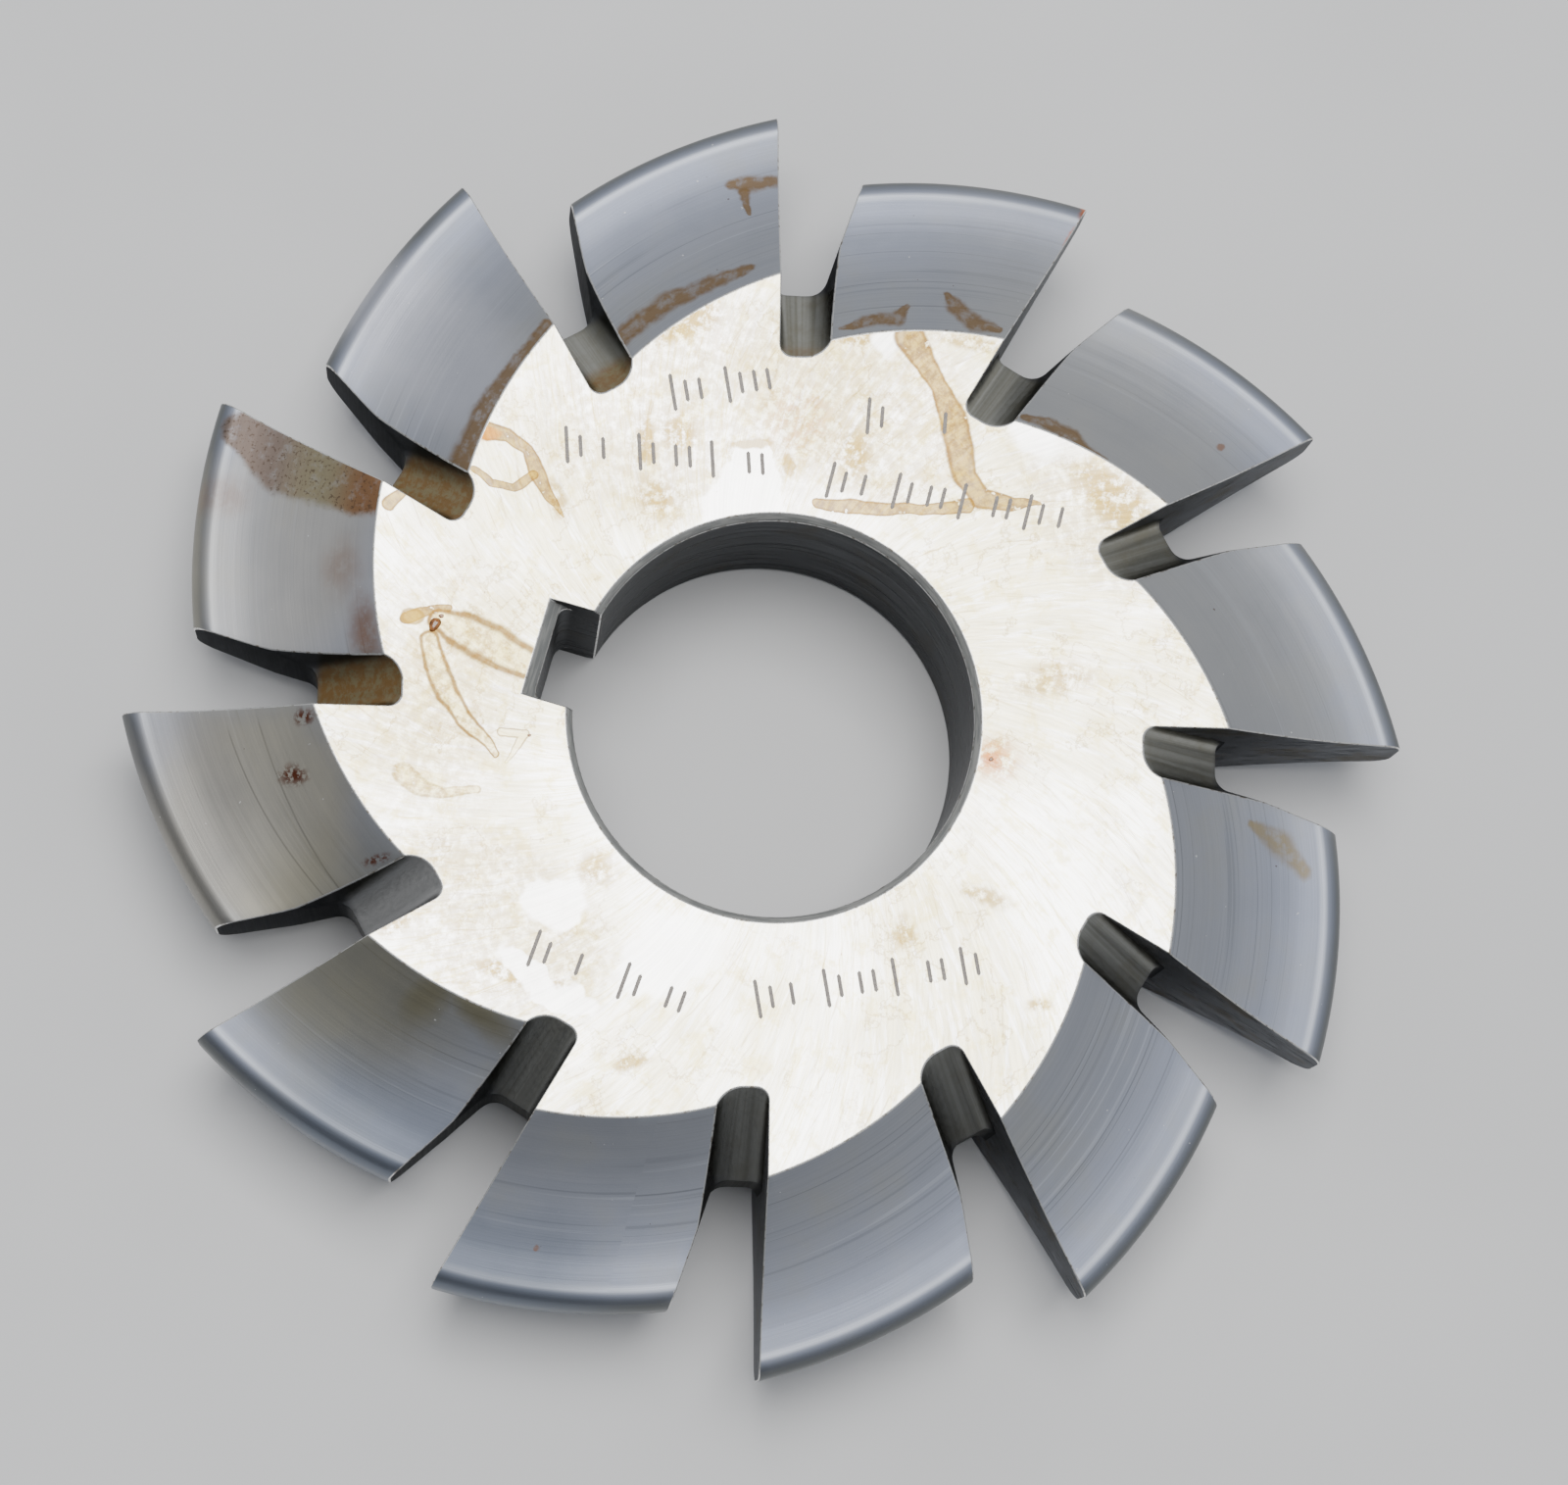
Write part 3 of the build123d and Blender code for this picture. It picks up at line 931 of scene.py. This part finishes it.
def flank_spots(s, ragged, patchy):
    """Small rust spots, stars of rust, rusty tips and pale specks."""
    s.paint(rgb(150, 106, 74), s.patches(ragged, RED_SPOTS), patchy, 0.7)
    s.paint(rgb(112, 66, 48), s.patches(ragged, RUST_STARS), s.specks(2.0, 4.0, 0.7, 0.42, 0.53))
    s.paint(rgb(206, 112, 60), s.patches(ragged, RUSTY_TIPS), 0.9)
    away = s.run(ragged, HEEL_STAIN)
    s.film(away, rgb(164, 146, 104), rgb(142, 120, 80), s.times(patchy, 0.75), 0.2, 0.6)
    s.paint(rgb(96, 72, 54), s.specks(1.9, 2.0, 0.5, 0.78, 0.81), 0.8)
    s.paint(WHITE, s.specks(2.3, 2.0, 0.5, 0.775, 0.79), 0.9)


def flank_material():
    """Form-relieved flanks: grey satin, with fine lines along the relief and brown oxide, and painted
    highlight, shade and reflections.
    """
    s = Shader("relieved_flank")
    relief = s.relief()
    depth, turn, _ = relief
    ragged = s.warped(s.layout, (0.4, 0.9), (2.2, 0.35))
    patchy = s.specks(0.9, 4.0, 0.65, 0.34, 0.56, 0.5, 1.0)
    hair, marks, cloud = lined_satin(s, relief)
    flank_areas(s, depth, turn, ragged)
    flank_oxide(s, depth, ragged, patchy)
    flank_spots(s, ragged, patchy)
    s.roughness(s.plus(s.graded(cloud, 0.38, 0.43), s.graded(hair, -0.02, 0.03)))
    s.bump(s.plus(hair, s.times(marks, 0.6)), 0.25, 0.015)
    return s.coloured()


# Old oil at the inner ends of four gullets, as the spots above
OILED_ENDS = (
    ((-27.8, 19.3), (6.5, 4.0), 145.0, 0.3),
    ((-33.7, 3.2), (6.5, 4.0), 174.5, 0.3),
    ((-12.6, 27.2), (1.9, 4.0), 114.5, 0.4, 0.9),
    ((2.6, 29.6), (0.9, 4.0), 85.0, 0.5, 0.5),
)
# Painted shade: the gullets are painted darker away from this azimuth, where less light falls.
BRIGHT_AZIMUTH = 70.0  # on the layout: the gullets get darker away from there


def gullet_material():
    """Milled gullets: grey, with painted shade in their depths and on the side away from the light,
    lines along the cutter's path, old oil at the inner ends.
    """
    s = Shader("milled_gullet", glance=0.16)
    radius = s.vector("LENGTH", s.flat(s.both_sides))
    scratches = s.noise(s.flat(s.place), 3.2, 3.0, 0.6)
    lines = s.noise(s.polar(105.0, 0.02), 1.0, 3.0, 0.6)
    cloud = s.noise(s.place, 0.35, 4.0, 0.6)
    speck = s.noise(s.place, 1.4, 4.0, 0.7)
    s.base = s.mix(s.ramp(lines, 0.35, 0.65), rgb(150, 149, 140), rgb(172, 172, 166))
    s.paint(rgb(140, 134, 112), s.ramp(cloud, 0.45, 0.75), 0.4)
    # Painted shade: gullets that face away from the light are painted darker.
    towards_light = s.split(s.turned_by(s.both_sides, radians(-BRIGHT_AZIMUTH)))[0]
    s.paint(rgb(100, 102, 104), s.ramp(towards_light, 16.0, -18.0, 0.0, 0.5))
    lighter = s.patch(s.flat(s.both_sides), (-29.5, -13.5), (9.0, 9.0), 0.0, 0.4, 0.8)
    s.paint(rgb(190, 190, 190), lighter)
    oiled = s.mix(s.ramp(speck, 0.42, 0.62), rgb(144, 110, 62), rgb(150, 136, 100))
    s.paint(oiled, s.patches(s.flat(s.layout), OILED_ENDS), 0.85)
    # Painted shade: the walls rising from the sloping floor, and the deep gullet beyond a radius of
    # 37, are painted darker.
    under_face = s.minus(HALF, s.single("ABSOLUTE", s.split(s.place)[2]))
    off_floor = s.minus(radius, s.times(under_face, FLOOR_SLOPE), FACE_FLOOR)
    s.paint(rgb(98, 98, 94), s.ramp(off_floor, 0.5, 2.4))
    s.paint(rgb(116, 117, 119), s.ramp(radius, 36.0, 37.0))
    s.roughness(s.graded(scratches, 0.34, 0.46))
    s.bump(lines, 0.25, 0.02)
    return s.coloured()


def rake_material():
    """Ground rake faces: fine lines along the wheel's path."""
    s = Shader("ground_rake", glance=0.13)
    lines = s.noise(s.vector("MULTIPLY", s.place, (0.25, 0.25, 3.0)), 1.6, 4.0, 0.65)
    cloud = s.noise(s.place, 0.25, 3.0, 0.6)
    s.base = s.mix(s.ramp(lines, 0.3, 0.7), rgb(156, 158, 162), rgb(188, 190, 194))
    s.paint(rgb(158, 150, 132), s.ramp(cloud, 0.5, 0.7), 0.5)
    s.roughness(s.graded(lines, 0.26, 0.42))
    s.bump(lines, 0.3, 0.02)
    return s.coloured()


def bore_material():
    """Ground bore and keyway: steel painted dark as shade, with faint rings round the axis."""
    s = Shader("ground_bore", glance=0.42)
    rings = s.noise(s.vector("MULTIPLY", s.place, (0.05, 0.05, 1.2)), 1.5, 4.0, 0.6)
    cloud = s.noise(s.place, 0.3, 3.0, 0.6)
    # Painted shade: the bore's steel is painted much darker than the other ground surfaces.
    s.base = s.mix(s.ramp(rings, 0.3, 0.7), rgb(78, 80, 83), rgb(116, 118, 121))
    s.paint(rgb(96, 90, 78), s.ramp(cloud, 0.5, 0.75), 0.4)
    s.roughness(s.graded(rings, 0.24, 0.4))
    s.bump(rings, 0.3, 0.02)
    return s.coloured()


def chamfer_material():
    """Turned chamfers: mid-grey, with fine rings."""
    s = Shader("turned_chamfer", metallic=0.35)
    rings = s.noise(s.vector("MULTIPLY", s.place, (0.3, 0.3, 4.0)), 1.5, 4.0, 0.6)
    s.base = s.mix(s.ramp(rings, 0.35, 0.65), rgb(124, 126, 126), rgb(152, 153, 151))
    s.roughness(s.graded(rings, 0.3, 0.45))
    return s.coloured()


def edge_material():
    """Worn edges: bright, with small dull nicks."""
    s = Shader("worn_edge")
    nicks = s.noise(s.place, 1.8, 3.0, 0.6)
    s.base = s.mix(s.ramp(nicks, 0.5, 0.68), rgb(226, 226, 224), rgb(150, 144, 134))
    s.roughness(s.ramp(nicks, 0.4, 0.7, 0.28, 0.45))
    return s.coloured()


# In the order of SURFACES
MATERIALS = (
    face_material, flank_material, gullet_material, rake_material, bore_material,
    chamfer_material, edge_material,
)


def etched_material():
    """Electrically etched marks: dull grey-brown."""
    s = Shader("etched_mark", metallic=0.6)
    speck = s.noise(s.place, 4.0, 3.0, 0.7)
    s.roughness(s.graded(speck, 0.5, 0.7))
    s.base = s.mix(s.ramp(speck, 0.35, 0.65), rgb(96, 92, 90), rgb(146, 141, 136))
    return s.coloured()


def oil_material():
    """Dried cutting oil that stands proud of the steel: clear brown varnish."""
    s = Shader("dried_oil", metallic=0.0)
    cloud = s.noise(s.place, 2.4, 3.0, 0.6)
    s.surface.inputs["Coat Weight"].default_value = 0.6
    s.roughness(s.graded(cloud, 0.12, 0.25))
    s.base = s.mix(s.ramp(cloud, 0.35, 0.65), rgb(92, 54, 26), rgb(160, 104, 52))
    return s.coloured()


def floor_material():
    s = Shader("floor", metallic=0.0)
    cloud = s.noise(s.place, 0.02, 3.0, 0.5)
    s.base = s.mix(s.ramp(cloud, 0.3, 0.7), rgb(196, 197, 199), rgb(202, 203, 205))
    s.roughness(0.8)
    return s.coloured()


# ---- small pieces

MARK_WIDTH = 0.32
MARK_GAP = 1.1
MARK_LENGTH = 3.2
MARK_HEIGHT = 0.012
MARK_SINK = 0.02
# Rows of plain etched strokes on the upper face: from, to (x, y on the layout), how many,
# and how far the strokes lean from the row's normal, in degrees
MARK_ROWS = (
    ((-8.6, 26.2), (-2.0, 27.4), 4, 0.0),
    ((7.2, 24.8), (13.4, 24.4), 2, 0.0),
    ((-17.0, 21.6), (-2.4, 20.6), 6, 8.0),
    ((4.2, 19.4), (22.8, 16.9), 8, -6.0),
    ((-18.6, -19.0), (-8.0, -22.6), 4, 0.0),
    ((-1.0, -22.6), (15.2, -19.6), 7, 0.0),
)
SHORT_MARK = 0.6  # of the length of a long one
OIL_SINK = 0.03
DROP_STEPS = 24
DROP_RINGS = 6
DROP_WAVE = 0.08  # how far a drop's outline goes in and out, as a share
# Drops of oil that stand proud: (x, y), half length, half width, height, angle
OIL_DROPS = (
    ((-27.1, 6.6), 0.62, 0.42, 0.22, 60.0),
    ((-26.6, 7.3), 0.22, 0.16, 0.06, 0.0),
    ((-19.4, -2.1), 0.16, 0.12, 0.04, 0.0),
    ((17.3, -3.0), 0.2, 0.16, 0.05, 30.0),
)


def piece(name, shell, material):
    """A small piece that rides on the cutter, from a shell laid out on the layout."""
    mesh = bpy.data.meshes.new(name)
    points = turned(shell.points, -LAYOUT_TURN)
    mesh.from_pydata(metres(points), [], shell.faces)
    bm = bmesh.new()
    bm.from_mesh(mesh)
    bmesh.ops.remove_doubles(bm, verts=bm.verts, dist=SLIVER * MM)
    bmesh.ops.recalc_face_normals(bm, faces=bm.faces)
    bm.to_mesh(mesh)
    bm.free()
    mesh.materials.append(material)
    thing = bpy.data.objects.new(name, mesh)
    bpy.context.scene.collection.objects.link(thing)
    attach(thing, "root")
    return thing


def prism(shell, outline, low, high):
    """A closed solid of one outline between two heights."""
    shell.polygon([(x, y, high) for x, y in outline], "face")
    shell.polygon([(x, y, low) for x, y in outline], "face")
    loop = [*outline, outline[0]]
    shell.grid([[(x, y, z) for x, y in loop] for z in (high, low)], "face")


def stroke(shell, at, length, lean):
    """A straight stroke with pointed ends, standing across its row."""
    along = Vector((-sin(radians(lean)), cos(radians(lean))))
    side = Vector((along.y, -along.x)) * MARK_WIDTH / 2
    half = along * length / 2
    shoulder = along * (length - MARK_WIDTH) / 2
    centre = Vector(at)
    outline = [half, shoulder + side, -shoulder + side, -half, -shoulder - side, shoulder - side]
    prism(shell, [tuple(centre + p) for p in outline], HALF - MARK_SINK, HALF + MARK_HEIGHT)


def etched_marks():
    shell = Shell()
    for start, end, count, lean in MARK_ROWS:
        start, end = Vector(start), Vector(end)
        row_angle = degrees(atan2(end.y - start.y, end.x - start.x))
        for k in range(count):
            length = MARK_LENGTH * (1.0 if k % 2 == 0 else SHORT_MARK)
            at = start.lerp(end, k / (count - 1))
            stroke(shell, at, length, row_angle + lean)
            if k % 3 != 1:
                beside = at + (end - start).normalized() * MARK_GAP
                stroke(shell, beside, MARK_LENGTH * SHORT_MARK, row_angle + lean)
    piece("etched_marks", shell, etched_material())


def drop(shell, at, long, short, height, angle):
    """A low dome with a slightly uneven oval outline."""
    rows = []
    for ring in range(DROP_RINGS + 1):
        share = ring / DROP_RINGS
        z = HALF + height * sqrt(max(0.0, 1 - share**2))
        row = []
        for k in range(DROP_STEPS + 1):
            turn = 2 * pi * (k % DROP_STEPS) / DROP_STEPS
            reach = share * (1 + DROP_WAVE * sin(3 * turn + at[0]))
            x, y, _ = turned([(long * reach * cos(turn), short * reach * sin(turn), 0.0)], angle)[0]
            row.append((at[0] + x, at[1] + y, z))
        rows.append(row)
    rows.append([(x, y, HALF - OIL_SINK) for x, y, _ in rows[-1]])
    shell.grid(rows[1:], "face")
    shell.polygon(rows[-1][:-1], "face")
    for a, b in zip(rows[1], rows[1][1:]):
        shell.polygon((rows[0][0], a, b), "face")


def oil_drops():
    shell = Shell()
    for at, long, short, height, angle in OIL_DROPS:
        drop(shell, at, long, short, height, angle)
    thing = piece("oil_drops", shell, oil_material())
    for face in thing.data.polygons:
        face.use_smooth = True


# ---- the scene

FLOOR_GAP = 0.02  # under the lower face, so that the two are not in one plane
FLOOR_REACH = 1500.0
# The camera stands where the photo's stood. Its lens and sensor are in millimetres too.
LENS = 97.83
SENSOR_WIDTH = 36.0
CAMERA_PLACE = (-66.13, 6.64, 340.97)
CAMERA_TARGET = (-0.02, -1.51, 0.0)
CAMERA_UP = (0.9433, 0.2815, 0.1762)
NEAREST_SEEN = 0.01  # metres
OVERHEAD_AZIMUTH = 8.0
OVERHEAD_ELEVATION = 79.0
OVERHEAD_DISTANCE = 1000.0
OVERHEAD_SIZE = 660.0
OVERHEAD_POWER = 13.0  # watts
OVERHEAD_COLOUR = (1.0, 0.985, 0.96)
OVERHEAD_UP = (0.3, 1, 0.1)
ROOM_COLOUR = (0.93, 0.96, 1.0, 1.0)
ROOM_BRIGHT_AZIMUTH = 60.0  # on the layout
ROOM_RISE = 0.35  # how much looking up counts towards the bright side
ROOM_SPAN = (-0.95, 0.15)  # from the dark side to where the room is as bright as it gets
ROOM_LEVELS = (0.12, 0.52)


def look_at(eye, target, up):
    """A matrix that puts something at eye, in millimetres, looking along its -Z at target."""
    forward = (Vector(target) - Vector(eye)).normalized()
    right = forward.cross(Vector(up)).normalized()
    matrix = Matrix((right, right.cross(forward), -forward)).transposed().to_4x4()
    matrix.translation = Vector(eye) * MM
    return matrix


def placed(name, data, matrix):
    thing = bpy.data.objects.new(name, data)
    thing.matrix_world = matrix
    bpy.context.scene.collection.objects.link(thing)
    return thing


def camera():
    data = bpy.data.cameras.new("camera")
    data.lens = LENS
    data.sensor_width = SENSOR_WIDTH
    data.sensor_fit = "HORIZONTAL"
    data.clip_start = NEAREST_SEEN
    place = look_at(CAMERA_PLACE, CAMERA_TARGET, CAMERA_UP)
    bpy.context.scene.camera = placed("camera", data, place)


def floor():
    mesh = bpy.data.meshes.new("floor")
    sides = ((-1, -1), (1, -1), (1, 1), (-1, 1))
    corners = [(x * FLOOR_REACH, y * FLOOR_REACH, -HALF - FLOOR_GAP) for x, y in sides]
    mesh.from_pydata(metres(corners), [], [(0, 1, 2, 3)])
    mesh.materials.append(floor_material())
    placed("floor", mesh, Matrix.Identity(4))


def overhead_panel():
    """A soft square light that faces the cutter."""
    data = bpy.data.lights.new("overhead", "AREA")
    data.size = OVERHEAD_SIZE * MM
    data.energy = OVERHEAD_POWER
    data.color = OVERHEAD_COLOUR
    out = OVERHEAD_DISTANCE * cos(radians(OVERHEAD_ELEVATION))
    height = OVERHEAD_DISTANCE * sin(radians(OVERHEAD_ELEVATION))
    eye = polar_point(out, OVERHEAD_AZIMUTH, height)
    placed("overhead", data, look_at(eye, (0, 0, 0), OVERHEAD_UP))


def room():
    """Soft light from all round, brighter towards the top of the layout."""
    world = bpy.data.worlds.new("world")
    bpy.context.scene.world = world
    world.use_nodes = True
    tree = world.node_tree
    direction = tree.nodes.new("ShaderNodeTexCoord").outputs["Generated"]
    along = tree.nodes.new("ShaderNodeVectorMath")
    along.operation = "DOT_PRODUCT"
    azimuth = radians(ROOM_BRIGHT_AZIMUTH - LAYOUT_TURN)
    along.inputs[1].default_value = (cos(azimuth), sin(azimuth), ROOM_RISE)
    tree.links.new(direction, along.inputs[0])
    level = tree.nodes.new("ShaderNodeMapRange")
    for socket, number in zip(list(level.inputs)[1:5], (*ROOM_SPAN, *ROOM_LEVELS)):
        socket.default_value = number
    tree.links.new(along.outputs["Value"], level.inputs[0])
    background = tree.nodes["Background"]
    background.inputs["Color"].default_value = ROOM_COLOUR
    tree.links.new(level.outputs[0], background.inputs["Strength"])


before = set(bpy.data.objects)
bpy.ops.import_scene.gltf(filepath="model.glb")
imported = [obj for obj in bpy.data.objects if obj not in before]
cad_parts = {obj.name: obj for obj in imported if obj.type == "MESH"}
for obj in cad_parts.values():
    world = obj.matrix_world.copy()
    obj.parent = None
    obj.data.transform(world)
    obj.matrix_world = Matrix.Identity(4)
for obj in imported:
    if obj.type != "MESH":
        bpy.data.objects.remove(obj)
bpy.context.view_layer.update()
body = cutter_body()
for material in MATERIALS:
    body.data.materials.append(material())
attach(body, "root")
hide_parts("gear_cutter")
etched_marks()
oil_drops()
camera()
floor()
overhead_panel()
room()
